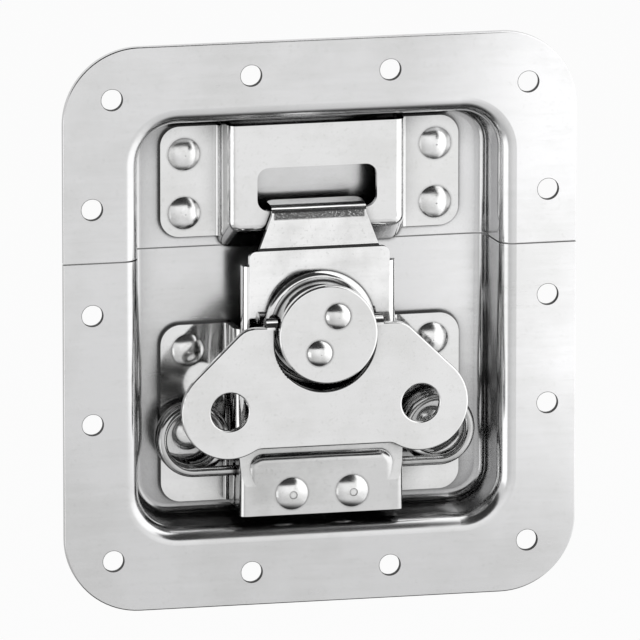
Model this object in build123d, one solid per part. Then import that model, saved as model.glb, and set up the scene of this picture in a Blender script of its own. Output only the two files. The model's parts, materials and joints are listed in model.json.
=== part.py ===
from build123d import *
import math
import os

# Recessed butterfly latch for cases. Millimetres, +Z up.
# The origin is the centre of the flange, on its back face, which seats on the case wall.
# -Y faces the user and +Y goes into the recess.

# Dish: one pressed outline, cut across into an upper and a lower half
dish_width = 102.0
dish_height = 112.0
dish_corner = 15.0
dish_sheet = 1.2
dish_depth = 11.4
recess_half_width = 36.1
recess_half_height = 40.4
recess_corner = 8.0
wall_draft = 5.0
rim_bend = 3.2
floor_bend = 2.0
split_height = 13.7
split_gap = 0.3
flange_edge_round = 0.3

# Flange holes, inset from the flange's edges
flange_hole_radius = 2.1
side_hole_inset = 5.7
side_hole_high = 24.3
side_hole_middle = 3.3
side_hole_low = -18.4
corner_hole_inset_x = 9.7
corner_hole_inset_z = 10.2
end_hole_inset = 6.6
end_hole_x = 13.8

# Clearances
running_gap = 0.08
pivot_gap = 0.05
rivet_gap = 0.05
seat_gap = 0.05
slide_gap = 0.1

# Keeper plate on the upper half
keeper_sheet = 1.2
keeper_foot_half_width = 29.7
keeper_bottom = 15.9
keeper_top = 37.8
keeper_corner = 3.8
keeper_face_half_width = 17.4
keeper_wall_splay = 0.7
keeper_rise = 6.9
keeper_face_top = 38.8
keeper_face_bottom = 18.1
keeper_lip_bottom = 14.0
keeper_tray_corner = 2.4
keeper_face_bend = 1.8
keeper_foot_bend = 1.2
slot_half_width = 11.9
slot_bottom = 21.7
slot_height = 8.6
slot_corner = 2.3
keeper_rivet_x = 25.0
keeper_rivet_high = 32.3
keeper_rivet_low = 20.6

# Base plate on the lower half
base_sheet = 1.5
base_foot_half_width = 29.8
base_top = -1.6
base_bottom = -36.9
base_corner = 4.0
bridge_half_width = 16.4
bridge_wall_splay = 0.2
bridge_rise = 6.5
bridge_bend = 2.1
bridge_foot_bend = 0.8
bridge_tongue_half_width = 11.5
bridge_tongue_top = 8.6
bridge_tongue_corner = 3.0
base_rivet_x = 24.4
base_rivet_high = -6.7
base_rivet_low = -23.4

# Plate rivets and cover rivets
rivet_head_radius = 3.2
rivet_head_height = 1.5
rivet_shank_radius = 1.6
rivet_tail_radius = 2.6
rivet_tail_height = 1.0
cover_rivet_x = 6.0
cover_rivet_z = -33.8
cover_rivet_shoulder = 2.5
cover_rivet_dimple = 0.8
cover_rivet_dimple_depth = 0.2

# Cam: an eccentric hub that turns on the pivot rivet
cam_centre_z = -1.05
cam_throw = 2.4
hub_radius = 9.2
hub_edge = 0.3
cap_radius = 9.75
cap_thickness = 1.6
cap_front_round = 0.4
cap_back_round = 0.3
cap_above_flange = 7.2
cap_rivet_x = 1.8
cap_rivet_z = 3.6
cap_rivet_head_radius = 2.5
cap_rivet_head_height = 1.6
cap_rivet_shank_radius = 1.4
cap_rivet_depth = 3.6
pivot_radius = 3.5
pivot_depth_in_hub = 4.0
pivot_head_radius = 5.6
pivot_head_thickness = 1.5
washer_radius = 6.2
washer_thickness = 0.8

# Hook plate: it rides on the hub and hooks through the keeper slot
hook_sheet = 1.2
hook_flange_depth = 2.1
hook_half_width = 15.25
hook_edge_bend = 1.5
hook_flange_top = 11.3
hook_flange_bottom = -12.5
hook_shoulder_half_width = 13.95
hook_shoulder_top = 14.2
hook_shoulder_corner = 1.4
hook_joggle = 0.3
hook_joggle_height = 0.6
hook_joggle_bend = 0.6
hook_neck_half_width = 12.0
hook_tip_half_width = 9.35
hook_tip_bend = 1.8
hook_tip_reach = 6.4
hook_tip_corner = 2.0
collar_height = 1.0
collar_wall = 0.6
collar_flare = 1.2
tail_half_width = 7.5
tail_tab_reach = 4.9
tail_bend = 1.6

# Wing
wing_sheet = 1.2
wing_above_flange = 4.2
wing_top = 0.2
wing_lobe_radius = 9.5
wing_lobe_x = 19.0
wing_lobe_z = -16.2
wing_finger_hole = 3.75
wing_shoulder_radius = 4.5
wing_shoulder_x = 13.95
wing_waist_rise = 1.8
wing_waist_blend = 3.0
wing_notch_radius = 10.05
wing_notch_drop = 1.85
wing_edge_round = 0.35
hinge_above_centre = 0.75
hinge_pin_radius = 0.7
hinge_pin_end = 0.3
knuckle_inner_end = 9.35
knuckle_outer_end = 11.6

# Wire spring and its cover
wire_radius = 1.0
coil_radius = 6.3
coil_half_turns = 4
coil_pitch = 2.2
wire_below_bridge_front = 0.5
wire_slot_gap = 0.3
cover_sheet = 1.2
cover_half_width = 16.3
cover_above_bridge = 4.4
cover_height = 13.1
cover_bottom = -38.0
cover_side_bend = 1.3
cover_pad_side_margin = 1.4
cover_pad_top_margin = 0.6
cover_pad_corner = 3.4
cover_pad_round = 2.0
cover_pad_step = 1.1
cover_pad_fade = 6.0

# Depths, worked out from the sizes above
flange_front = -dish_sheet
floor_front = flange_front + dish_depth
floor_back = floor_front + dish_sheet
keeper_foot_front = floor_front - keeper_sheet
keeper_front = keeper_foot_front - keeper_rise
base_foot_front = floor_front - base_sheet
bridge_front = base_foot_front - bridge_rise
bridge_back = bridge_front + base_sheet
hook_back_edge = bridge_front - slide_gap
hook_front = hook_back_edge - hook_flange_depth
cap_front = flange_front - cap_above_flange
cap_back = cap_front + cap_thickness
hub_back = bridge_front - 2 * slide_gap
wing_front = flange_front - wing_above_flange
wing_back = wing_front + wing_sheet
knuckle_bore = hinge_pin_radius + pivot_gap
knuckle_radius = knuckle_bore + wing_sheet
hinge_y = wing_front + knuckle_radius
cover_front = bridge_front - cover_above_bridge
cover_back = cover_front + cover_sheet
wire_y = bridge_front + wire_below_bridge_front

# Heights, worked out from the sizes above
pivot_z = cam_centre_z + cam_throw
hinge_z = cam_centre_z + hinge_above_centre
hook_lift = 2 * cam_throw
hook_bore = hub_radius + running_gap
collar_radius = hook_bore + collar_wall
tip_bottom = slot_bottom + seat_gap
tip_top = tip_bottom + hook_sheet
bar_z = base_rivet_low - coil_radius
wire_slot_half = wire_radius + wire_slot_gap
tab_bottom = bar_z + wire_radius + slide_gap
cover_top = cover_bottom + cover_height
waist_z = wing_lobe_z - wing_lobe_radius + wing_waist_rise

# Places of the flange holes
side_hole_x = dish_width / 2 - side_hole_inset
corner_hole_x = dish_width / 2 - corner_hole_inset_x
corner_hole_z = dish_height / 2 - corner_hole_inset_z
end_hole_z = dish_height / 2 - end_hole_inset


def pressed(outline, front, back):
    """Give a front-view outline thickness, from the depth front to the depth back."""
    return extrude(Plane.XZ.offset(-back) * outline, amount=back - front)


def both_sides(shape):
    """The shape and its mirror image about the middle of the latch."""
    return shape + mirror(shape, about=Plane.YZ)


def bent_strip(points, bends, thickness, side):
    """A closed section of bent sheet, given one face's corner points and bend radii."""
    path = FilletPolyline(*points, radius=bends)
    return make_face(offset(path, amount=thickness, side=side, closed=True))


def round_hole(x, z, radius, front, back):
    """A round cutter along the depth."""
    return pressed(Pos(x, z) * Circle(radius), front, back)


def turned(points, x, z):
    """A solid turned about an axis along the depth, from (radius, depth) points."""
    section = make_face(Polyline(*points, close=True))
    return Pos(x, 0, z) * revolve(section, axis=Axis.Y)


def domed_rivet(x, z, seat, head_radius, head_height, stem):
    """A domed head on its seat, and a stem given as (radius, depth) points."""
    sphere = (head_radius ** 2 + head_height ** 2) / (2 * head_height)
    half_angle = math.asin(head_radius / sphere) / 2
    middle = (sphere * math.sin(half_angle), seat - head_height + sphere * (1 - math.cos(half_angle)))
    dome = ThreePointArc((0, seat - head_height), middle, (head_radius, seat))
    rest = Polyline((head_radius, seat), *stem, (0, stem[-1][1]), (0, seat - head_height))
    section = make_face(dome + rest)
    return Pos(x, 0, z) * revolve(section, axis=Axis.Y)


def plate_rivet(x, z, seat, grip_back):
    """A rivet with a domed head in front and a formed tail behind."""
    stem = [
        (rivet_shank_radius, seat),
        (rivet_shank_radius, grip_back),
        (rivet_tail_radius, grip_back),
        (rivet_tail_radius * 0.8, grip_back + rivet_tail_height),
    ]
    return domed_rivet(x, z, seat, rivet_head_radius, rivet_head_height, stem)


def rivet_holes(places, front, back):
    """Cutters for the shanks of plate rivets."""
    radius = rivet_shank_radius + rivet_gap
    return [round_hole(x, z, radius, front, back) for x, z in places]


keeper_rivet_places = [
    (side * keeper_rivet_x, z) for side in (-1, 1) for z in (keeper_rivet_high, keeper_rivet_low)
]
base_rivet_places = [
    (side * base_rivet_x, z) for side in (-1, 1) for z in (base_rivet_high, base_rivet_low)
]
side_hole_heights = (side_hole_high, side_hole_middle, side_hole_low)
flange_hole_places = [
    *[(side * side_hole_x, z) for side in (-1, 1) for z in side_hole_heights],
    *[(side * corner_hole_x, end * corner_hole_z) for side in (-1, 1) for end in (-1, 1)],
    *[(side * end_hole_x, end * end_hole_z) for side in (-1, 1) for end in (-1, 1)],
]


def recess(grow, depth):
    """The tapered recess, grown by a wall thickness, from the flange front."""
    outline = RectangleRounded(
        2 * (recess_half_width + grow),
        2 * (recess_half_height + grow),
        recess_corner + grow,
    )
    start = Plane(origin=(0, flange_front, 0), x_dir=(1, 0, 0), z_dir=(0, 1, 0))
    return extrude(start * outline, amount=depth, taper=wall_draft)


def edges_at_depth(shape, depth, inside):
    """Edges that lie on one depth and inside a half width and a half height."""
    half_width, half_height = inside
    found = []
    for edge in shape.edges():
        box = edge.bounding_box()
        flat = abs(box.min.Y - depth) < 0.01 and abs(box.max.Y - depth) < 0.01
        if flat and box.max.X < half_width and box.min.X > -half_width and abs(box.max.Z) < half_height:
            found.append(edge)
    return found


def whole_dish():
    """The pressed sheet before it is cut in two."""
    wall = dish_sheet / math.cos(math.radians(wall_draft))
    flange = pressed(RectangleRounded(dish_width, dish_height, dish_corner), flange_front, 0)
    flange = fillet(flange.faces().sort_by(Axis.Y)[0].edges(), flange_edge_round)
    dish = flange + recess(wall, dish_depth + dish_sheet) - recess(0, dish_depth)
    near = (recess_half_width + 4, recess_half_height + 4)
    dish = fillet(edges_at_depth(dish, floor_front, near), floor_bend)
    dish = fillet(edges_at_depth(dish, floor_back, near), floor_bend + dish_sheet)
    dish = fillet(edges_at_depth(dish, flange_front, near), rim_bend)
    dish = fillet(edges_at_depth(dish, 0, near), rim_bend - dish_sheet)
    for x, z in flange_hole_places:
        dish -= round_hole(x, z, flange_hole_radius, flange_front - 1, 1)
    for cutter in rivet_holes(keeper_rivet_places + base_rivet_places, floor_front - 1, floor_back + 1):
        dish -= cutter
    return dish


def dish_half(dish, bottom, top):
    """The part of the dish between two heights."""
    keep = pressed(
        Pos(0, (bottom + top) / 2) * Rectangle(2 * dish_width, top - bottom),
        flange_front - 5,
        floor_back + 5,
    )
    return dish & keep


def foot_outline(half_width, bottom, top, corner):
    """The front view of a plate's feet."""
    return Pos(0, (bottom + top) / 2) * RectangleRounded(2 * half_width, top - bottom, corner)


def keeper_section():
    """The keeper's hat section, seen from above."""
    foot = keeper_face_half_width + keeper_wall_splay
    points = [
        (-keeper_foot_half_width, keeper_foot_front),
        (-foot, keeper_foot_front),
        (-keeper_face_half_width, keeper_front),
        (keeper_face_half_width, keeper_front),
        (foot, keeper_foot_front),
        (keeper_foot_half_width, keeper_foot_front),
    ]
    bends = [keeper_foot_bend, keeper_face_bend, keeper_face_bend, keeper_foot_bend]
    return bent_strip(points, bends, keeper_sheet, Side.LEFT)


def keeper_tray_outline(depth, inset):
    """The tray's front view at one depth: its sides and its lower wall slant outwards."""
    share = (depth - keeper_front) / keeper_rise
    lip_slope = (keeper_face_bottom - keeper_lip_bottom) / keeper_rise
    side_slope = keeper_wall_splay / keeper_rise
    half_width = keeper_face_half_width + keeper_wall_splay * share - inset * math.hypot(1, side_slope)
    bottom = keeper_face_bottom - (keeper_face_bottom - keeper_lip_bottom) * share
    bottom += inset * math.hypot(1, lip_slope)
    top = keeper_face_top + 2 * keeper_face_bend
    outline = RectangleRounded(2 * half_width, top - bottom, keeper_tray_corner - inset)
    return Pos(0, (top + bottom) / 2) * outline


def keeper_form(inset):
    """The filled form of the raised tray."""
    near = keeper_front + inset
    far = floor_front + inset
    sections = [
        Plane.XZ.offset(-depth) * keeper_tray_outline(depth, inset) for depth in (near, far)
    ]
    block = loft(sections, ruled=True)
    return fillet(block.faces().sort_by(Axis.Y)[0].edges(), keeper_face_bend - inset)


def make_keeper_plate():
    """Hat-shaped keeper: a pressed tray with a slanted lower wall and the slot for the hook."""
    seam = keeper_foot_front - keeper_foot_bend
    tall = extrude(
        Plane.XY.offset(keeper_bottom) * keeper_section(),
        amount=keeper_top - keeper_bottom,
    )
    outline = foot_outline(keeper_foot_half_width, keeper_bottom, keeper_top, keeper_corner)
    feet = tall & pressed(outline, seam, floor_front + 1)
    whole = Pos(0, keeper_face_top - dish_height / 2) * Rectangle(dish_width, dish_height)
    ahead = pressed(whole, keeper_front - 1, seam)
    lower_part = Pos(0, keeper_bottom - dish_height / 2) * Rectangle(dish_width, dish_height)
    below = pressed(lower_part, seam, floor_front)
    tray = keeper_form(0) - keeper_form(keeper_sheet)
    slot = Pos(0, slot_bottom + slot_height / 2) * RectangleRounded(
        2 * slot_half_width, slot_height, slot_corner
    )
    tray -= pressed(slot, keeper_front - 1, keeper_front + keeper_sheet + 1)
    plate = feet + (tray & ahead) + (tray & below)
    for cutter in rivet_holes(keeper_rivet_places, keeper_foot_front - 1, floor_front + 1):
        plate -= cutter
    return plate


def make_base_plate():
    """Hat-shaped base that carries the pivot, the spring and its cover."""
    foot = bridge_half_width + bridge_wall_splay
    points = [
        (-base_foot_half_width, base_foot_front),
        (-foot, base_foot_front),
        (-bridge_half_width, bridge_front),
        (bridge_half_width, bridge_front),
        (foot, base_foot_front),
        (base_foot_half_width, base_foot_front),
    ]
    bends = [bridge_foot_bend, bridge_bend, bridge_bend, bridge_foot_bend]
    section = bent_strip(points, bends, base_sheet, Side.LEFT)
    plate = extrude(Plane.XY.offset(base_bottom) * section, amount=base_top - base_bottom)
    plate &= pressed(
        foot_outline(base_foot_half_width, base_bottom, base_top, base_corner),
        bridge_front - 1,
        floor_front + 1,
    )
    tongue_bottom = base_top - bridge_tongue_corner - 1
    tongue = Pos(0, (tongue_bottom + bridge_tongue_top) / 2) * RectangleRounded(
        2 * bridge_tongue_half_width,
        bridge_tongue_top - tongue_bottom,
        bridge_tongue_corner,
    )
    plate += pressed(tongue, bridge_front, bridge_back)
    plate -= round_hole(0, pivot_z, pivot_radius + pivot_gap, bridge_front - 1, bridge_back + 1)
    wire_slot = Pos(0, bar_z) * Rectangle(2 * (foot + base_sheet), 2 * wire_slot_half)
    plate -= pressed(wire_slot, bridge_front - 1, wire_y + wire_slot_half)
    window_half = tail_half_width + cam_throw + wire_slot_gap
    window_top = tab_bottom + hook_sheet + hook_lift + wire_slot_gap
    window = Pos(0, (bar_z + window_top) / 2) * Rectangle(2 * window_half, window_top - bar_z)
    plate -= pressed(window, bridge_front - 1, bridge_back + 1)
    for cutter in rivet_holes(base_rivet_places, base_foot_front - 1, floor_front + 1):
        plate -= cutter
    for cutter in rivet_holes(cover_rivet_places(), bridge_front - 1, bridge_back + 1):
        plate -= cutter
    return plate


def cover_rivet_places():
    """Centres of the two rivets through the cover."""
    return [(side * cover_rivet_x, cover_rivet_z) for side in (-1, 1)]


def cover_pad(inset):
    """The raised pad of the spring cover, with its rounded front rim."""
    top = cover_top - cover_pad_top_margin - inset
    half_width = cover_half_width - cover_pad_side_margin - inset
    front = cover_front + inset
    outline = RectangleRounded(2 * half_width, 2 * cover_height, cover_pad_corner - inset)
    pad = pressed(Pos(0, top - cover_height) * outline, front, front + 2 * cover_pad_round)
    return fillet(pad.faces().sort_by(Axis.Y)[0].edges(), cover_pad_round - inset)


def cover_block(inset):
    """The filled form of the spring cover, whose rim sinks back from the pad towards the top."""
    top = cover_top - inset
    bottom = cover_bottom - inset
    front = cover_front + inset
    outline = Pos(0, (top + bottom) / 2) * Rectangle(2 * (cover_half_width - inset), top - bottom)
    block = pressed(outline, front, bridge_front + inset)
    sides = block.faces().sort_by(Axis.Y)[0].edges().filter_by(Axis.Z)
    block = fillet(sides, cover_side_bend - min(inset, cover_side_bend - 0.1))
    fade = cover_bottom + cover_pad_fade
    above = top + cover_sheet
    sunk = cover_pad_step * (above - fade) / (cover_top - fade)
    wedge = make_face(Polyline((front, fade), (front + sunk, above), (front, above), close=True))
    rim = extrude(Plane.YZ * wedge, amount=cover_half_width, both=True)
    return block - (rim - cover_pad(inset))


def make_spring_cover():
    """Shallow pressed cover that traps the spring's bar against the bridge."""
    cover = cover_block(0) - cover_block(cover_sheet)
    wire_slot = Pos(0, bar_z) * Rectangle(4 * cover_half_width, 2 * wire_slot_half)
    cover -= pressed(wire_slot, wire_y - wire_slot_half, bridge_front + 1)
    tail_half = tail_half_width + cam_throw + wire_slot_gap
    tail_way = Pos(0, cover_top) * Rectangle(2 * tail_half, 4 * cover_sheet)
    cover -= pressed(tail_way, hook_front - wire_slot_gap, bridge_front + 1)
    for cutter in rivet_holes(cover_rivet_places(), cover_front - 1, cover_back + 1):
        cover -= cutter
    return cover


def make_hook_plate():
    """Flanged plate with a collar for the hub, a bent-back tip and a tail for the spring."""
    flanged = bent_strip(
        [
            (-hook_half_width, hook_back_edge),
            (-hook_half_width, hook_front),
            (hook_half_width, hook_front),
            (hook_half_width, hook_back_edge),
        ],
        [hook_edge_bend, hook_edge_bend],
        hook_sheet,
        Side.LEFT,
    )
    plate = extrude(
        Plane.XY.offset(hook_flange_bottom) * flanged,
        amount=hook_flange_top - hook_flange_bottom,
    )
    shoulder_bottom = hook_flange_top - 3 * hook_shoulder_corner
    shoulders = Pos(0, (shoulder_bottom + hook_shoulder_top) / 2) * RectangleRounded(
        2 * hook_shoulder_half_width,
        hook_shoulder_top - shoulder_bottom,
        hook_shoulder_corner,
    )
    plate += pressed(shoulders, hook_front, hook_front + hook_sheet)
    plate += hook_neck_and_tip()
    plate += hook_tail()
    plate += hook_collar()
    return plate - round_hole(0, cam_centre_z, hook_bore, hook_front - 5, hook_front + 5)


def hook_collar():
    """The drawn collar round the hub, still filled, with its flared foot."""
    rim = hook_front - collar_height
    middle = hook_front + hook_sheet / 2
    foot = collar_radius + math.sqrt(collar_flare ** 2 - (collar_flare - collar_height) ** 2)
    flare = RadiusArc((foot, hook_front), (collar_radius, rim), collar_flare)
    rest = Polyline((collar_radius, rim), (0, rim), (0, middle), (foot, middle), (foot, hook_front))
    return Pos(0, 0, cam_centre_z) * revolve(make_face(flare + rest), axis=Axis.Y)


def hook_neck_and_tip():
    """The tapered neck above the shoulders and the tip that enters the slot."""
    neck_front = hook_front + hook_joggle
    points = [
        (hook_front, hook_shoulder_top - hook_shoulder_corner),
        (hook_front, hook_shoulder_top),
        (neck_front, hook_shoulder_top + hook_joggle_height),
        (neck_front, tip_top),
        (neck_front + hook_tip_reach, tip_top),
    ]
    bends = [hook_joggle_bend, hook_joggle_bend, hook_tip_bend]
    section = bent_strip(points, bends, hook_sheet, Side.RIGHT)
    strip = extrude(Plane.YZ * section, amount=hook_neck_half_width, both=True)
    neck_top = tip_top - hook_tip_bend
    outline = make_face(
        Polyline(
            (-hook_neck_half_width, hook_shoulder_top - hook_shoulder_corner - 1),
            (hook_neck_half_width, hook_shoulder_top - hook_shoulder_corner - 1),
            (hook_neck_half_width, hook_shoulder_top),
            (hook_tip_half_width, neck_top),
            (hook_tip_half_width, tip_top + 1),
            (-hook_tip_half_width, tip_top + 1),
            (-hook_tip_half_width, neck_top),
            (-hook_neck_half_width, hook_shoulder_top),
            close=True,
        )
    )
    neck = strip & pressed(outline, hook_front - 1, neck_front + hook_tip_reach + 1)
    corners = neck.edges().filter_by(Axis.Z).group_by(Axis.Y)[-1]
    return fillet(corners, hook_tip_corner)


def hook_tail():
    """The tail under the cover, with the bent tab that the spring's bar lifts."""
    points = [
        (hook_front, hook_flange_bottom + 1),
        (hook_front, tab_bottom),
        (hook_front + tail_tab_reach, tab_bottom),
    ]
    section = bent_strip(points, [tail_bend], hook_sheet, Side.LEFT)
    return extrude(Plane.YZ * section, amount=tail_half_width, both=True)


def make_cam_hub():
    """Eccentric hub, bored for the pivot, the hinge pin and the cap rivets."""
    hub = round_hole(0, cam_centre_z, hub_radius, cap_back, hub_back)
    rims = hub.edges().filter_by(GeomType.CIRCLE)
    hub = chamfer(rims, hub_edge)
    hub -= round_hole(0, pivot_z, pivot_radius + rivet_gap, hub_back - pivot_depth_in_hub, hub_back + 1)
    pin_bore = Cylinder(hinge_pin_radius + rivet_gap, 3 * hub_radius, rotation=(0, 90, 0))
    hub -= Pos(0, hinge_y, hinge_z) * pin_bore
    for x, z in cap_rivet_places():
        bore = cap_rivet_shank_radius + rivet_gap
        hub -= round_hole(x, z, bore, cap_back - 1, cap_back + cap_rivet_depth + rivet_gap)
    return hub


def cap_rivet_places():
    """Centres of the two rivets that hold the cap on the hub."""
    return [(side * cap_rivet_x, cam_centre_z + side * cap_rivet_z) for side in (-1, 1)]


def make_cam_cap():
    """Round cap that covers the hub and overhangs the hook's collar."""
    cap = round_hole(0, cam_centre_z, cap_radius, cap_front, cap_back)
    rims = cap.edges().filter_by(GeomType.CIRCLE).sort_by(Axis.Y)
    cap = fillet(rims[0], cap_front_round)
    rims = cap.edges().filter_by(GeomType.CIRCLE).sort_by(Axis.Y)
    cap = fillet(rims[-1], cap_back_round)
    for x, z in cap_rivet_places():
        cap -= round_hole(x, z, cap_rivet_shank_radius + rivet_gap, cap_front - 1, cap_back + 1)
    return cap


def make_cap_rivets():
    """The two smaller domed rivets on the cap."""
    end = cap_back + cap_rivet_depth
    stem = [(cap_rivet_shank_radius, cap_front), (cap_rivet_shank_radius, end)]
    return [
        domed_rivet(x, z, cap_front, cap_rivet_head_radius, cap_rivet_head_height, stem)
        for x, z in cap_rivet_places()
    ]


def make_pivot_rivet():
    """The rivet that the cam turns on, headed behind the bridge."""
    start = hub_back - pivot_depth_in_hub + rivet_gap
    head = bridge_back + washer_thickness + 2 * pivot_gap
    points = [
        (0, start),
        (pivot_radius, start),
        (pivot_radius, head),
        (pivot_head_radius, head),
        (pivot_head_radius, head + pivot_head_thickness * 0.6),
        (pivot_head_radius * 0.85, head + pivot_head_thickness),
        (0, head + pivot_head_thickness),
    ]
    return turned(points, 0, pivot_z)


def make_pivot_washer():
    """Washer between the bridge and the pivot rivet's head."""
    front = bridge_back + pivot_gap
    ring = Circle(washer_radius) - Circle(pivot_radius + pivot_gap)
    return pressed(Pos(0, pivot_z) * ring, front, front + washer_thickness)


def make_hinge_pin():
    """Cross pin through the hub, which carries the wing's knuckles."""
    length = 2 * (knuckle_outer_end + hinge_pin_end)
    pin = Cylinder(hinge_pin_radius, length, rotation=(0, 90, 0))
    pin = chamfer(pin.edges().filter_by(GeomType.CIRCLE), hinge_pin_radius / 4)
    return Pos(0, hinge_y, hinge_z) * pin


def wing_outline():
    """The wing's front view, with its finger holes and the notch around the cap."""
    lobes = [Pos(side * wing_lobe_x, wing_lobe_z) * Circle(wing_lobe_radius) for side in (-1, 1)]
    shoulder_z = wing_top - wing_shoulder_radius
    shoulders = [
        Pos(side * wing_shoulder_x, shoulder_z) * Circle(wing_shoulder_radius) for side in (-1, 1)
    ]
    outline = make_hull(Sketch(lobes + shoulders).edges())
    below = Pos(0, waist_z - wing_lobe_radius) * Rectangle(2 * wing_lobe_x, 2 * wing_lobe_radius)
    outline -= below - lobes[0] - lobes[1]
    ends = [vertex for vertex in outline.vertices() if abs(vertex.Y - waist_z) < 0.01]
    outline = fillet(ends, wing_waist_blend)
    notch_z = cam_centre_z - wing_notch_drop
    outline -= Pos(0, notch_z) * Circle(wing_notch_radius)
    outline -= Pos(0, notch_z + dish_height / 4) * Rectangle(2 * wing_notch_radius, dish_height / 2)
    outline -= Pos(0, hinge_z + dish_height / 4) * Rectangle(2 * knuckle_outer_end, dish_height / 2)
    for side in (-1, 1):
        outline -= Pos(side * wing_lobe_x, wing_lobe_z) * Circle(wing_finger_hole)
    return outline


def make_wing():
    """Folding wing with two knuckles curled round the hinge pin."""
    plate = pressed(wing_outline(), wing_front, wing_back)
    rims = [
        edge
        for edge in plate.faces().sort_by(Axis.Y)[0].edges()
        if abs(edge.center().X) > knuckle_outer_end + 0.1 or edge.center().Z < hinge_z - 0.1
    ]
    plate = fillet(rims, wing_edge_round)
    curl = Circle(knuckle_radius) - Circle(knuckle_bore)
    curl -= Pos(-knuckle_radius, -knuckle_radius) * Rectangle(2 * knuckle_radius, 2 * knuckle_radius)
    start = Plane.YZ.offset(knuckle_inner_end) * Pos(hinge_y, hinge_z)
    tube = extrude(start * curl, amount=knuckle_outer_end - knuckle_inner_end)
    return plate + both_sides(tube)


def half_turn(depth, outward):
    """Half a turn of a coil, from its low or high point at one depth to the next."""
    low_first = 1 if outward else -1
    start = Vector(-base_rivet_x, depth, base_rivet_low - low_first * coil_radius)
    end = Vector(-base_rivet_x, depth + coil_pitch / 2, base_rivet_low + low_first * coil_radius)
    centre = (start + end) / 2
    normal = Vector(-low_first, 0, 0).cross(end - start)
    section = Plane(origin=start, z_dir=(-low_first, 0, 0)) * Circle(wire_radius)
    return revolve(section, axis=Axis(centre, normal), revolution_arc=180)


def make_spring_wire():
    """One wire: a bar under the cover and a coil of half turns at each end."""
    wire = Pos(0, wire_y, bar_z) * Cylinder(wire_radius, 2 * base_rivet_x, rotation=(0, 90, 0))
    for count in range(coil_half_turns):
        piece = half_turn(wire_y + count * coil_pitch / 2, count % 2 == 0)
        wire += piece
        wire += mirror(piece, about=Plane.YZ)
    return wire


def make_cover_rivets():
    """Shouldered rivets that hold the cover off the bridge by the wire's room."""
    rivets = []
    for x, z in cover_rivet_places():
        stem = [
            (rivet_shank_radius, cover_front),
            (rivet_shank_radius, cover_back),
            (cover_rivet_shoulder, cover_back),
            (cover_rivet_shoulder, bridge_front),
            (rivet_shank_radius, bridge_front),
            (rivet_shank_radius, bridge_back),
            (rivet_tail_radius, bridge_back),
            (rivet_tail_radius * 0.8, bridge_back + rivet_tail_height),
        ]
        rivet = domed_rivet(x, z, cover_front, rivet_head_radius, rivet_head_height, stem)
        head_top = cover_front - rivet_head_height
        rivet -= round_hole(x, z, cover_rivet_dimple, head_top - 1, head_top + cover_rivet_dimple_depth)
        rivets.append(rivet)
    return rivets


dish = whole_dish()
parts = {
    "upper_dish": dish_half(dish, split_height + split_gap / 2, dish_height),
    "lower_dish": dish_half(dish, -dish_height, split_height - split_gap / 2),
    "keeper_plate": make_keeper_plate(),
    "keeper_rivets": [plate_rivet(x, z, keeper_foot_front, floor_back) for x, z in keeper_rivet_places],
    "base_plate": make_base_plate(),
    "base_rivets": [plate_rivet(x, z, base_foot_front, floor_back) for x, z in base_rivet_places],
    "hook_plate": make_hook_plate(),
    "cam_hub": make_cam_hub(),
    "cam_cap": make_cam_cap(),
    "cap_rivets": make_cap_rivets(),
    "pivot_rivet": make_pivot_rivet(),
    "pivot_washer": make_pivot_washer(),
    "hinge_pin": make_hinge_pin(),
    "wing": make_wing(),
    "spring_wire": make_spring_wire(),
    "spring_cover": make_spring_cover(),
    "cover_rivets": make_cover_rivets(),
}

os.makedirs("parts", exist_ok=True)
for name, shape in parts.items():
    solid = Compound(children=shape) if isinstance(shape, list) else shape
    export_step(solid, f"parts/{name}.step")
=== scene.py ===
import json
import math

import bmesh
import bpy
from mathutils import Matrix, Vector

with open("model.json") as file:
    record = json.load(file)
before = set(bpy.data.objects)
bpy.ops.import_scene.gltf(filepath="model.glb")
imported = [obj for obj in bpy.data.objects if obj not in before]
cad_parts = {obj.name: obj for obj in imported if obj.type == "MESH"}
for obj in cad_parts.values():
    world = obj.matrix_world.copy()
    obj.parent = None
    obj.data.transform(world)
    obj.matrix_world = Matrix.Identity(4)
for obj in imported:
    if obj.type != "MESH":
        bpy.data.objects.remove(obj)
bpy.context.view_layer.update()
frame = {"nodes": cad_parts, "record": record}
nodes = frame["nodes"]
print("frame loaded:", len(nodes), "nodes")


# a socket that takes part in sums, so that shader maths reads as plain expressions
class Value:
    def __init__(self, shader, socket):
        self.shader = shader
        self.socket = socket

    def math(self, operation, *others):
        return self.shader.add("ShaderNodeMath", {"operation": operation}, self, *others)

    def reflected(self, operation, other):
        return self.shader.add("ShaderNodeMath", {"operation": operation}, other, self)

    def __add__(self, other): return self.math("ADD", other)
    def __radd__(self, other): return self.reflected("ADD", other)
    def __sub__(self, other): return self.math("SUBTRACT", other)
    def __rsub__(self, other): return self.reflected("SUBTRACT", other)
    def __mul__(self, other): return self.math("MULTIPLY", other)
    def __rmul__(self, other): return self.reflected("MULTIPLY", other)
    def __truediv__(self, other): return self.math("DIVIDE", other)
    def __rtruediv__(self, other): return self.reflected("DIVIDE", other)
    def __pow__(self, other): return self.math("POWER", other)
    def __rpow__(self, other): return self.reflected("POWER", other)
    def __neg__(self): return self * -1.0


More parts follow.
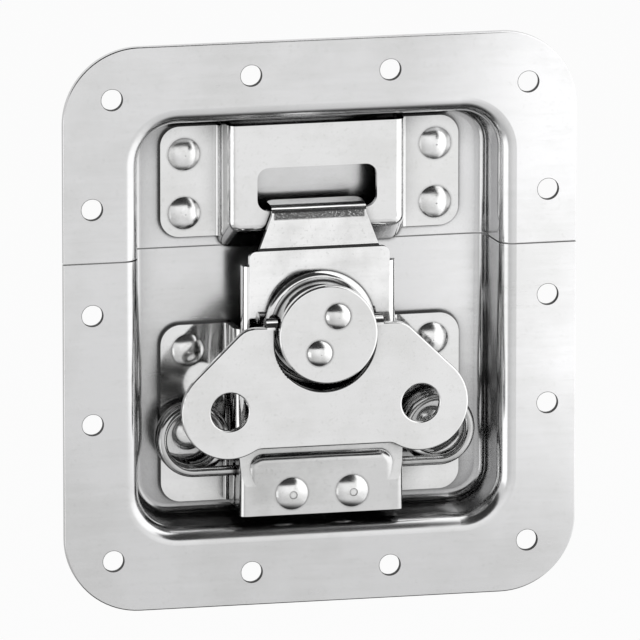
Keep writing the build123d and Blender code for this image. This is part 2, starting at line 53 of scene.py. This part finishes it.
# the nodes of one material, or of the world
class Shader:
    def __init__(self, owner):
        self.owner = owner
        owner.use_nodes = True
        self.tree = owner.node_tree
        self.tree.nodes.clear()

    # any node: its type, its settings, then the values or links of its sockets, in order or by
    # name; at says which sockets the values in order go to, where they aren't the first ones
    def add(self, kind, settings=None, *values, at=None, output=0, **named):
        node = self.tree.nodes.new(kind)
        for key, setting in (settings or {}).items():
            setattr(node, key, setting)
        inOrder = zip(at or range(len(values)), values)
        byName = [(key.replace("_", " "), value) for key, value in named.items()]
        for key, value in [*inOrder, *byName]:
            socket = node.inputs[key]
            if isinstance(value, Value):
                self.tree.links.new(value.socket, socket)
            else:
                socket.default_value = (*value, 1) if socket.type == "RGBA" else value
        return Value(self, node.outputs[output]) if len(node.outputs) else node

    # the three numbers of a vector
    def parts(self, vector):
        first = self.add("ShaderNodeSeparateXYZ", None, vector)
        return [Value(self, socket) for socket in first.socket.node.outputs]

    # 0 below low, 1 above high
    def band(self, value, low, high):
        smooth = {"interpolation_type": "SMOOTHSTEP"}
        return self.add("ShaderNodeMapRange", smooth, value, low, high, 0.0, 1.0)

    # 1 between low and high, 0 outside, with soft edges inside them
    def stripe(self, value, low, high, soft):
        return self.band(value, low, low + soft) * (1.0 - self.band(value, high - soft, high))

    # a colour between two, by a factor from 0 to 1
    def blend(self, factor, first, second):
        colors = {"data_type": "RGBA"}
        return self.add("ShaderNodeMix", colors, factor, first, second, at=(0, 6, 7), output=2)

    def noise(self, vector, scale, detail, roughness):
        return self.add(
            "ShaderNodeTexNoise", None,
            Vector=vector, Scale=scale, Detail=detail, Roughness=roughness,
        )

    # object coordinates, turned and stretched for marks that run one way
    def stretched(self, scale=(1, 1, 1), turn=(0, 0, 0)):
        place = self.add("ShaderNodeTexCoord", None, output="Object")
        return self.add("ShaderNodeMapping", None, Vector=place, Rotation=turn, Scale=scale)


# The marks on plated steel: where each sets in, and the detail and roughness of its noise.
# Haze is the cloudy film of handling, specks are spots in it, grain runs with the rolling of
# the sheet, scratches are long thin marks in two directions and wave is the slight unevenness
# of pressed sheet. Crease and joint shade is painted shade, set in by how closed in a place is.
marks = {
    "haze": (0.38, 0.68), "hazeNoise": (4.0, 0.6),
    "speck": (0.60, 0.72), "speckNoise": (2.0, 0.5),
    "grainNoise": (3.0, 0.6), "waveNoise": (1.0, 0.4),
    "scratch": [(0.66, 0.72), (0.67, 0.73)], "scratchNoise": (2.0, 0.6),
    "creaseShade": (0.12, 0.8), "joint": (0.03, 0.24), "shadeSamples": 8,
}


# plated steel of one look, with painted shade in closed-in corners, creases and contact lines, and
# an optional mask that pulls the colour towards a near-black one
def plated(name, look, bareAndShade=None):
    shader = Shader(bpy.data.materials.new(name))
    place = shader.stretched()
    across, deep, tall = shader.parts(place)
    haze = shader.noise(place, look["hazeScale"], *marks["hazeNoise"])
    haze = shader.band(haze, *marks["haze"])
    speck = shader.noise(place, look["speckScale"], *marks["speckNoise"])
    speck = shader.band(speck, *marks["speck"])
    rolled = shader.stretched(look["grainStretch"])
    grain = shader.noise(rolled, look["grainScale"], *marks["grainNoise"])
    wave = shader.noise(place, look["waveScale"], *marks["waveNoise"])
    scratch = 0.0
    for turn, levels in zip(look["scratchTurns"], marks["scratch"]):
        drawn = shader.stretched(look["scratchStretch"], turn)
        lines = shader.noise(drawn, look["scratchScale"], *marks["scratchNoise"])
        scratch = scratch + shader.band(lines, *levels)
    # painted shade: ambient occlusion darkens the colour in closed-in corners and creases and along
    # contact lines between parts
    creaseShade, joint = [
        1.0 - shader.add(
            "ShaderNodeAmbientOcclusion", {"samples": marks["shadeSamples"]},
            Distance=look[reach], output="AO",
        )
        for reach in ("creaseShadeReach", "jointShadeReach")
    ]
    paintedShade = shader.band(creaseShade, *marks["creaseShade"]) * look["creaseShadeTone"]
    paintedShade = paintedShade.math("MAXIMUM", shader.band(joint, *marks["joint"]) * look["jointShadeTone"])
    stain = haze * look["hazeTone"] + speck * look["speckTone"] + (grain - 0.5) * look["grainTone"]
    tone = shader.blend(stain, look["color"], look["tint"])
    tone = shader.blend(paintedShade, tone, look["paintedShadeColor"])
    roughness = look["roughness"] + haze * look["hazeRough"] + scratch * look["scratchRough"]
    # the mask darkens the seam and sheared metal, and paints shade into the hole walls and under
    # the hook's tip
    if bareAndShade:
        bareAndShadeMask = bareAndShade(shader, place)
        tone = shader.blend(bareAndShadeMask, tone, look["bareAndShadeColor"])
        roughness = roughness + bareAndShadeMask * look["bareAndShadeRough"]
    height = wave * look["waveHeight"] + grain * look["grainHeight"]
    height = height - scratch * look["scratchDepth"]
    if "bow" in look:  # the sheet as a whole is a little domed
        height = height - (across * across + tall * tall) * look["bow"]
    if "flat" in look:  # rivet heads are a little flatter than they stand
        height = height - (deep - look["middle"]).math("ABSOLUTE") * look["flat"]
    bump = shader.add("ShaderNodeBump", None, Strength=1.0, Distance=1.0, Height=height)
    surface = shader.add(
        "ShaderNodeBsdfPrincipled", None,
        Base_Color=tone, Metallic=1.0, Roughness=roughness, Normal=bump,
    )
    shader.add("ShaderNodeOutputMaterial", None, surface)
    return shader.owner


# the dark marks of the dishes: the seam between the halves, a dark joint, and the walls and rims of
# the flange holes, darkened almost to black as sheared metal and as painted shade inside the holes
shearAndShade = {"seamTone": 0.45, "seamSoft": (0.00001, 0.00004), "holeSoft": (0.00004, 0.00012)}


def dishCutsAndShade(shader, place):
    across, deep, tall = shader.parts(place)
    seam = max(corner[2] for corner in nodes["lower_dish"].bound_box)
    gap = min(corner[2] for corner in nodes["upper_dish"].bound_box) - seam
    fromSeam = (tall - (seam + gap / 2)).math("ABSOLUTE")
    low, high = shearAndShade["seamSoft"]
    bareAndShade = (1.0 - shader.band(fromSeam, gap / 2 + low, gap / 2 + high)) * shearAndShade["seamTone"]
    # the flange holes: walls and rims darkened almost to black, as sheared metal and as painted
    # shade inside the holes
    low, high = shearAndShade["holeSoft"]
    mm = 0.001
    for mount in frame["record"]["mounts"]:
        if mount["kind"] != "bolt_pattern":
            continue
        size = mount["dims"]
        x = across.math("ABSOLUTE") - size["spacing_x_mm"] / 2 * mm
        z = (tall - mount["pos_m"][2]).math("ABSOLUTE") - size.get("spacing_y_mm", 0) / 2 * mm
        radius = size["hole_r_mm"] * mm
        away = (x * x + z * z) ** 0.5
        bareAndShade = bareAndShade.math("MAXIMUM", 1.0 - shader.band(away, radius + low, radius + high))
    return bareAndShade


# the dark speckled band under the hook's bent tip, painted shade where the bend faces up: foot
# and head are measured down from the top of the hook plate
hookTipShadeBand = {
    "foot": 0.0029, "head": 0.0006, "half": 0.0092, "soft": 0.0004,
    "speckScale": 4600, "speckNoise": (2.0, 0.6), "speck": (0.2, 0.5), "depth": 0.95,
}


def hookTipShade(shader, place):
    across, deep, tall = shader.parts(place)
    top = max(corner[2] for corner in nodes["hook_plate"].bound_box)
    half, soft = hookTipShadeBand["half"], hookTipShadeBand["soft"]
    # painted shade: a dark speckled band just under the top of the hook plate
    tipShade = shader.stripe(tall, top - hookTipShadeBand["foot"], top - hookTipShadeBand["head"], soft)
    tipShade = tipShade * (1.0 - shader.band(across.math("ABSOLUTE"), half - soft, half))
    speck = shader.noise(place, hookTipShadeBand["speckScale"], *hookTipShadeBand["speckNoise"])
    return tipShade * shader.band(speck, *hookTipShadeBand["speck"]) * hookTipShadeBand["depth"]


# The looks of the pieces. Scales are per metre, stretches squeeze a pattern along an axis and
# heights and reaches are in metres. Tones say how far a mark goes towards the tint or the
# painted shade colour, and each Rough adds to the roughness.
dishLook = {
    "color": (0.72, 0.72, 0.725), "tint": (0.62, 0.62, 0.615), "roughness": 0.17, "bow": 0.3,
    "hazeScale": 38, "hazeTone": 0.5, "hazeRough": 0.06, "speckScale": 1400, "speckTone": 0.25,
    "grainStretch": (1, 1, 9), "grainScale": 60, "grainTone": 0.8, "grainHeight": 0.000007,
    "scratchStretch": (1, 1, 14), "scratchTurns": [(0, 0.5, 0), (0, -1.2, 0)], "scratchScale": 130,
    "scratchRough": 0.05, "scratchDepth": 0.0000006,
    "waveScale": 24, "waveHeight": 0.0006,
    # painted shade: reach and strength of the darkening in corners, creases and contact lines, and
    # its colour
    "creaseShadeReach": 0.009, "creaseShadeTone": 0.85, "jointShadeReach": 0.0008, "jointShadeTone": 0.95,
    # near-black colour of the seam, the sheared hole walls and the painted shade in the holes
    "paintedShadeColor": (0.07, 0.07, 0.07), "bareAndShadeColor": (0.03, 0.03, 0.03), "bareAndShadeRough": 0.3,
}
plateLook = {
    "color": (0.81, 0.81, 0.81), "tint": (0.69, 0.69, 0.68), "roughness": 0.06,
    "hazeScale": 80, "hazeTone": 0.5, "hazeRough": 0.07, "speckScale": 1600, "speckTone": 0.35,
    "grainStretch": (1, 1, 7), "grainScale": 110, "grainTone": 0.5, "grainHeight": 0.0000012,
    "scratchStretch": (1, 1, 16), "scratchTurns": [(0, 0.3, 0), (0, 1.4, 0)], "scratchScale": 210,
    "scratchRough": 0.07, "scratchDepth": 0.0000005,
    "waveScale": 55, "waveHeight": 0.00028,
    # painted shade: reach and strength of the darkening in corners, creases and contact lines, and
    # its colour
    "creaseShadeReach": 0.007, "creaseShadeTone": 0.9, "jointShadeReach": 0.0006, "jointShadeTone": 0.95,
    "paintedShadeColor": (0.07, 0.07, 0.07),
}
hookLook = {
    **plateLook, "color": (0.96, 0.96, 0.96), "tint": (0.70, 0.70, 0.695),
    "hazeScale": 58, "hazeTone": 0.85, "waveHeight": 0.0005, "creaseShadeTone": 0.75,
    # near-black colour of the painted shade band under the hook's bent tip
    "bareAndShadeColor": (0.07, 0.07, 0.07), "bareAndShadeRough": 0.25,
}
coverLook = {
    **plateLook, "color": (0.68, 0.68, 0.68), "tint": (0.54, 0.54, 0.535), "roughness": 0.13,
    "hazeScale": 60, "hazeTone": 0.9, "waveScale": 90, "waveHeight": 0.0003,
}
rivetLook = {
    "color": (0.83, 0.83, 0.83), "tint": (0.69, 0.69, 0.68), "roughness": 0.16,
    "hazeScale": 300, "hazeTone": 0.6, "hazeRough": 0.08, "speckScale": 1800, "speckTone": 0.5,
    "grainStretch": (1, 1, 2), "grainScale": 500, "grainTone": 0.5, "grainHeight": 0.000006,
    "scratchStretch": (1, 1, 9), "scratchTurns": [(0, 0.9, 0), (0, -0.4, 0)], "scratchScale": 420,
    "scratchRough": 0.06, "scratchDepth": 0.0000004,
    "waveScale": 350, "waveHeight": 0.00003, "flat": 0.42, "middle": 0.0106,
    # painted shade: reach and strength of the darkening in corners, creases and contact lines, and
    # its colour
    "creaseShadeReach": 0.001, "creaseShadeTone": 0.4, "jointShadeReach": 0.0006, "jointShadeTone": 0.9,
    "paintedShadeColor": (0.08, 0.08, 0.08),
}
springLook = {
    "color": (0.53, 0.53, 0.53), "tint": (0.38, 0.38, 0.375), "roughness": 0.12,
    "hazeScale": 160, "hazeTone": 0.6, "hazeRough": 0.08, "speckScale": 1500, "speckTone": 0.4,
    "grainStretch": (1, 1, 1), "grainScale": 400, "grainTone": 0.6, "grainHeight": 0.000003,
    "scratchStretch": (1, 1, 6), "scratchTurns": [(0, 1.57, 0), (0, 1.4, 0)], "scratchScale": 300,
    "scratchRough": 0.06, "scratchDepth": 0.0000006,
    "waveScale": 200, "waveHeight": 0.00002,
    # painted shade: reach and strength of the darkening in corners, creases and contact lines, and
    # its colour
    "creaseShadeReach": 0.004, "creaseShadeTone": 0.9, "jointShadeReach": 0.0012, "jointShadeTone": 0.9,
    "paintedShadeColor": (0.05, 0.05, 0.05),
}
finishes = {
    "zinc_sheet": plated("dishZinc", dishLook, dishCutsAndShade),
    "bright_plate": plated("brightPlate", plateLook),
    "rivet_steel": plated("rivetSteel", rivetLook),
    "spring_steel": plated("springWire", springLook),
}
ownFinish = {
    "spring_cover": plated("coverPlate", coverLook),
    "hook_plate": plated("hookPlate", hookLook, hookTipShade),
}
slots = {part["node"]: part["material_slot"] for part in frame["record"]["subparts"]}
for name, node in nodes.items():
    node.data.materials.clear()
    node.data.materials.append(ownFinish.get(name, finishes[slots[name]]))
print("finishes on every piece")


# The room that the metal mirrors. Directions are told from the latch: rises and depths run
# from -1 to 1 along an axis, and turns are degrees to the right of straight in front.
room = {
    "low": 0.80, "mid": 1.12, "rise": (-0.55, 0.20),  # brighter from the floor to the walls
    "leftLoss": 0.25, "leftTurn": (0, 45),  # and less bright on the left
    "dark": 0.04, "ceiling": (0.26, 0.36), "under": (0.64, 0.92),  # dark above and right below
    "behind": (0.62, 0.98), "behindFrom": (0.15, 0.5), "behindRise": (-0.5, 0.6),
    "strip": 1.5, "stripTurn": (-84, -42), "stripTurnSoft": 4,  # a tall soft light on the left
    "stripRise": (-0.5, 0.05), "stripRiseSoft": 0.1,
    "peak": 2.0,  # the brightest level that anything may have
}


# how bright the room is in the direction of a vector from the latch
def roomLevel(shader, vector):
    direction = shader.add("ShaderNodeVectorMath", {"operation": "NORMALIZE"}, vector)
    across, deep, tall = shader.parts(direction)
    turn = across.math("ARCTAN2", -deep) * (180 / math.pi)
    level = room["low"] + shader.band(tall, *room["rise"]) * (room["mid"] - room["low"])
    level = level * (1.0 - shader.band(-turn, *room["leftTurn"]) * room["leftLoss"])
    level = level + shader.band(tall, *room["ceiling"]) * (room["dark"] - level)
    low, high = room["behind"]
    behind = low + shader.band(tall, *room["behindRise"]) * (high - low)
    level = level + shader.band(deep, *room["behindFrom"]) * (behind - level)
    strip = shader.stripe(turn, *room["stripTurn"], room["stripTurnSoft"])
    strip = strip * shader.stripe(tall, *room["stripRise"], room["stripRiseSoft"])
    level = level + strip * (room["strip"] - level)
    return level + shader.band(-tall, *room["under"]) * (room["dark"] - level)


# light whose level changes from place to place: the level mixes no light with the brightest
def glow(shader, kind, level):
    none = shader.add(kind, None, (1, 1, 1), 0.0)
    most = shader.add(kind, None, (1, 1, 1), room["peak"])
    return shader.add("ShaderNodeMixShader", None, level / room["peak"], none, most)


def stagePlane(name, corners, material):
    mesh = bpy.data.meshes.new(name)
    form = bmesh.new()
    form.faces.new([form.verts.new(corner) for corner in corners])
    form.to_mesh(mesh)
    form.free()
    plane = bpy.data.objects.new(name, mesh)
    mesh.materials.append(material)
    bpy.context.scene.collection.objects.link(plane)
    return plane


# the pale floor: plain white paper, part of it lit by itself for the camera, and the room's
# own level for the metal
floorSize = {"drop": 0.30, "half": 4.0, "color": (0.82, 0.82, 0.82), "selfLit": 0.8}


def makeFloor():
    shader = Shader(bpy.data.materials.new("paleFloor"))
    isCamera = shader.add("ShaderNodeLightPath", None, output="Is Camera Ray")
    isGlossy = shader.add("ShaderNodeLightPath", None, output="Is Glossy Ray")
    matt = shader.add("ShaderNodeBsdfDiffuse", None, floorSize["color"])
    place = shader.add("ShaderNodeTexCoord", None, output="Object")
    pale = glow(shader, "ShaderNodeEmission", roomLevel(shader, place))
    white = shader.add("ShaderNodeEmission", None, (1, 1, 1), 1.0)
    seen = shader.add("ShaderNodeMixShader", None, isGlossy, matt, pale)
    both = shader.add("ShaderNodeMixShader", None, isCamera * floorSize["selfLit"], seen, white)
    shader.add("ShaderNodeOutputMaterial", None, both)
    half, drop = floorSize["half"], -floorSize["drop"]
    corners = [(-half, -half, drop), (half, -half, drop), (half, half, drop), (-half, half, drop)]
    stagePlane("floor", corners, shader.owner)


# the close white soft box on the right, with a dark card on it: only the metal sees it
softBox = {
    "side": 0.08, "front": -0.27, "back": 0.04, "foot": -0.10, "head": 0.8,
    "level": 1.45, "edgeLevel": 0.96, "edgeFade": (-0.235, -0.12), "sillFade": (-0.08, -0.03),
    "cardRise": (0.035, 0.075), "cardEdge": (-0.15, -0.11),
}


def makeSoftBox():
    shader = Shader(bpy.data.materials.new("softBoxWhite"))
    across, deep, tall = shader.parts(shader.add("ShaderNodeTexCoord", None, output="Object"))
    inside = shader.band(deep, *softBox["edgeFade"]) * shader.band(tall, *softBox["sillFade"])
    level = softBox["edgeLevel"] + inside * (softBox["level"] - softBox["edgeLevel"])
    card = shader.band(tall, *softBox["cardRise"]) * (1.0 - shader.band(deep, *softBox["cardEdge"]))
    level = level + card * (room["dark"] - level)
    shader.add("ShaderNodeOutputMaterial", None, glow(shader, "ShaderNodeEmission", level))
    side, front, back = softBox["side"], softBox["front"], softBox["back"]
    foot, head = softBox["foot"], softBox["head"]
    corners = [(side, front, foot), (side, back, foot), (side, back, head), (side, front, head)]
    box = stagePlane("softBox", corners, shader.owner)
    box.visible_camera = False
    box.visible_diffuse = False
    box.visible_shadow = False


# the world: the room for the metal, plain white for everything else
def makeSky():
    world = bpy.data.worlds.new("studio")
    bpy.context.scene.world = world
    sky = Shader(world)
    direction = sky.add("ShaderNodeTexCoord", None, output="Generated")
    mirrored = glow(sky, "ShaderNodeBackground", roomLevel(sky, direction))
    white = sky.add("ShaderNodeBackground", None, (1, 1, 1), 1.0)
    isGlossy = sky.add("ShaderNodeLightPath", None, output="Is Glossy Ray")
    both = sky.add("ShaderNodeMixShader", None, isGlossy, white, mirrored)
    sky.add("ShaderNodeOutputWorld", None, both)
    world.cycles.sampling_method = "NONE"


# one soft lamp high on the right, for the floor and the shadow on it
highLamp = {"place": (1.2, -0.8, 1.5), "aim": (0, 0, 0), "side": 1.2, "watts": 5.0}


def makeLamp():
    lamp = bpy.data.lights.new("softHigh", "AREA")
    lamp.shape = "RECTANGLE"
    lamp.size = lamp.size_y = highLamp["side"]
    lamp.energy = highLamp["watts"]
    holder = bpy.data.objects.new("softHigh", lamp)
    holder.location = highLamp["place"]
    away = Vector(highLamp["aim"]) - Vector(highLamp["place"])
    holder.rotation_euler = away.to_track_quat("-Z", "Y").to_euler()
    bpy.context.scene.collection.objects.link(holder)


# the camera, fitted to the flange outline and its holes in the photograph
view = {
    "azimuth": -12.49, "elevation": 12.72, "distance": 2.5, "lens": 723.5, "sensor": 36,
    "target": (0, -0.0012, 0), "right": -0.000194, "up": 0.000330, "farthest": 50,
}


def makeCamera():
    turn, rise = math.radians(view["azimuth"]), math.radians(view["elevation"])
    ahead = Vector((math.sin(turn), -math.cos(turn), 0))
    back = ahead * math.cos(rise) + Vector((0, 0, math.sin(rise)))
    right = Vector((math.cos(turn), math.sin(turn), 0))
    up = back.cross(right)
    data = bpy.data.cameras.new("camera")
    data.lens = view["lens"]
    data.sensor_width = view["sensor"]
    data.clip_end = view["farthest"]
    camera = bpy.data.objects.new("camera", data)
    target = Vector(view["target"]) + right * view["right"] + up * view["up"]
    camera.location = target + back * view["distance"]
    camera.rotation_euler = back.to_track_quat("Z", "Y").to_euler()
    bpy.context.scene.collection.objects.link(camera)
    bpy.context.scene.camera = camera


makeFloor()
makeSoftBox()
makeSky()
print("floor, soft box and room")
makeLamp()
makeCamera()
bpy.context.scene.view_settings.view_transform = "Standard"
print("lamp and camera")
